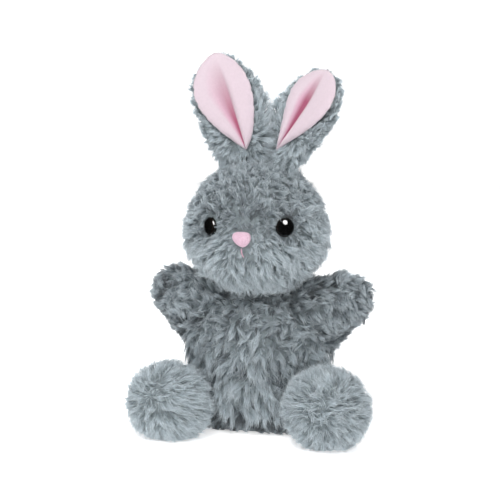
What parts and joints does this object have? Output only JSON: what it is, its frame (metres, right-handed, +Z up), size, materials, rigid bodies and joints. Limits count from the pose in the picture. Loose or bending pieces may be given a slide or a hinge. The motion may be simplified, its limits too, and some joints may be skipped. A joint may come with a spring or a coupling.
{
  "type": "sock puppet",
  "caption": "Plush rabbit glove puppet seated upright, with a hollow body and arms for the hand, a stuffed head and feet, and floppy ears",
  "frame": {"origin": "middle of the footprint, on the surface the puppet sits on", "axes": "+Z up, the rabbit faces -Y, +X is towards its own left arm (right of the front view)"},
  "size_m": [0.1522, 0.1052, 0.2503],
  "materials": {
    "plush": "long-pile blue-grey fur fabric, darker at the roots",
    "ear_velour": "short-pile pale pink velour",
    "nose_felt": "soft light pink fabric",
    "mouth_thread": "pink embroidery thread",
    "lining": "smooth woven lining cloth",
    "fibrefill": "white polyester fibrefill",
    "thread": "grey sewing thread",
    "eye_plastic": "glossy black with a dark brown rim",
    "washer_plastic": "white moulded washer"
  },
  "bodies": {
    "torso": {"torso_front_panel": "plush", "torso_back_panel": "plush", "torso_lining": "lining", "hem_facing": "lining", "tail_cover": "plush", "tail_stuffing": "fibrefill"},
    "neck_base": {"neck_gathering_thread": "thread"},
    "neck": {"neck_sleeve": "lining"},
    "head": {"head_gusset": "plush", "head_left_panel": "plush", "head_right_panel": "plush", "head_stuffing": "fibrefill", "head_finger_pocket": "lining", "nose": "nose_felt", "mouth_stitch": "mouth_thread", "eye_left": "eye_plastic", "eye_right": "eye_plastic", "eye_left_washer": "washer_plastic", "eye_right_washer": "washer_plastic"},
    "ear_left": {"ear_left_back": "plush", "ear_left_inner": "ear_velour"},
    "shoulder_left": {"armhole_left_seam": "thread"},
    "arm_left": {"arm_left_front_panel": "plush", "arm_left_back_panel": "plush", "arm_left_lining": "lining", "paw_left_stuffing": "fibrefill"},
    "foot_left": {"foot_left_upper": "plush", "foot_left_sole": "plush", "foot_left_stuffing": "fibrefill"},
    "ear_right": {"ear_right_back": "plush", "ear_right_inner": "ear_velour"},
    "shoulder_right": {"armhole_right_seam": "thread"},
    "arm_right": {"arm_right_front_panel": "plush", "arm_right_back_panel": "plush", "arm_right_lining": "lining", "paw_right_stuffing": "fibrefill"},
    "foot_right": {"foot_right_upper": "plush", "foot_right_sole": "plush", "foot_right_stuffing": "fibrefill"}
  },
  "joints": [
    {"name": "head_turn", "type": "hinge", "parent": "torso", "child": "neck_base", "pos_m": [0, 0.0069, 0.101], "axis": [0, 0, 1], "range_deg": [-35, 35], "stiffness_Nm_per_rad": 0.05},
    {"name": "head_tilt", "type": "hinge", "parent": "neck_base", "child": "neck", "pos_m": [0, 0.0069, 0.101], "axis": [0, 1, 0], "range_deg": [-10, 10], "stiffness_Nm_per_rad": 0.3},
    {"name": "head_nod", "type": "hinge", "parent": "neck", "child": "head", "pos_m": [0, 0.0069, 0.101], "axis": [1, 0, 0], "range_deg": [-18, 18], "stiffness_Nm_per_rad": 0.3},
    {"name": "ear_left_flop", "type": "hinge", "parent": "head", "child": "ear_left", "pos_m": [-0.0095, 0.0009, 0.1855], "axis": [0.9664, 0, 0.2571], "range_deg": [-35, 60], "stiffness_Nm_per_rad": 0.02},
    {"name": "arm_left_swing", "type": "hinge", "parent": "torso", "child": "shoulder_left", "pos_m": [-0.031, 0.0089, 0.076], "axis": [0, 0, 1], "range_deg": [-25, 30], "stiffness_Nm_per_rad": 0.03},
    {"name": "arm_left_raise", "type": "hinge", "parent": "shoulder_left", "child": "arm_left", "pos_m": [-0.031, 0.0089, 0.076], "axis": [0, 1, 0], "range_deg": [-30, 10], "stiffness_Nm_per_rad": 0.05},
    {"name": "foot_left_swing", "type": "hinge", "parent": "torso", "child": "foot_left", "pos_m": [-0.031, -0.0141, 0.025], "axis": [1, 0, 0], "range_deg": [-20, 20], "stiffness_Nm_per_rad": 0.1},
    {"name": "ear_right_flop", "type": "hinge", "parent": "head", "child": "ear_right", "pos_m": [0.018, 0.0009, 0.1842], "axis": [0.9048, 0, -0.4259], "range_deg": [-35, 60], "stiffness_Nm_per_rad": 0.02},
    {"name": "arm_right_swing", "type": "hinge", "parent": "torso", "child": "shoulder_right", "pos_m": [0.031, 0.0089, 0.076], "axis": [0, 0, 1], "range_deg": [-30, 25], "stiffness_Nm_per_rad": 0.03},
    {"name": "arm_right_raise", "type": "hinge", "parent": "shoulder_right", "child": "arm_right", "pos_m": [0.031, 0.0089, 0.076], "axis": [0, -1, 0], "range_deg": [-30, 10], "stiffness_Nm_per_rad": 0.05},
    {"name": "foot_right_swing", "type": "hinge", "parent": "torso", "child": "foot_right", "pos_m": [0.031, -0.0141, 0.025], "axis": [1, 0, 0], "range_deg": [-20, 20], "stiffness_Nm_per_rad": 0.1}
  ]
}
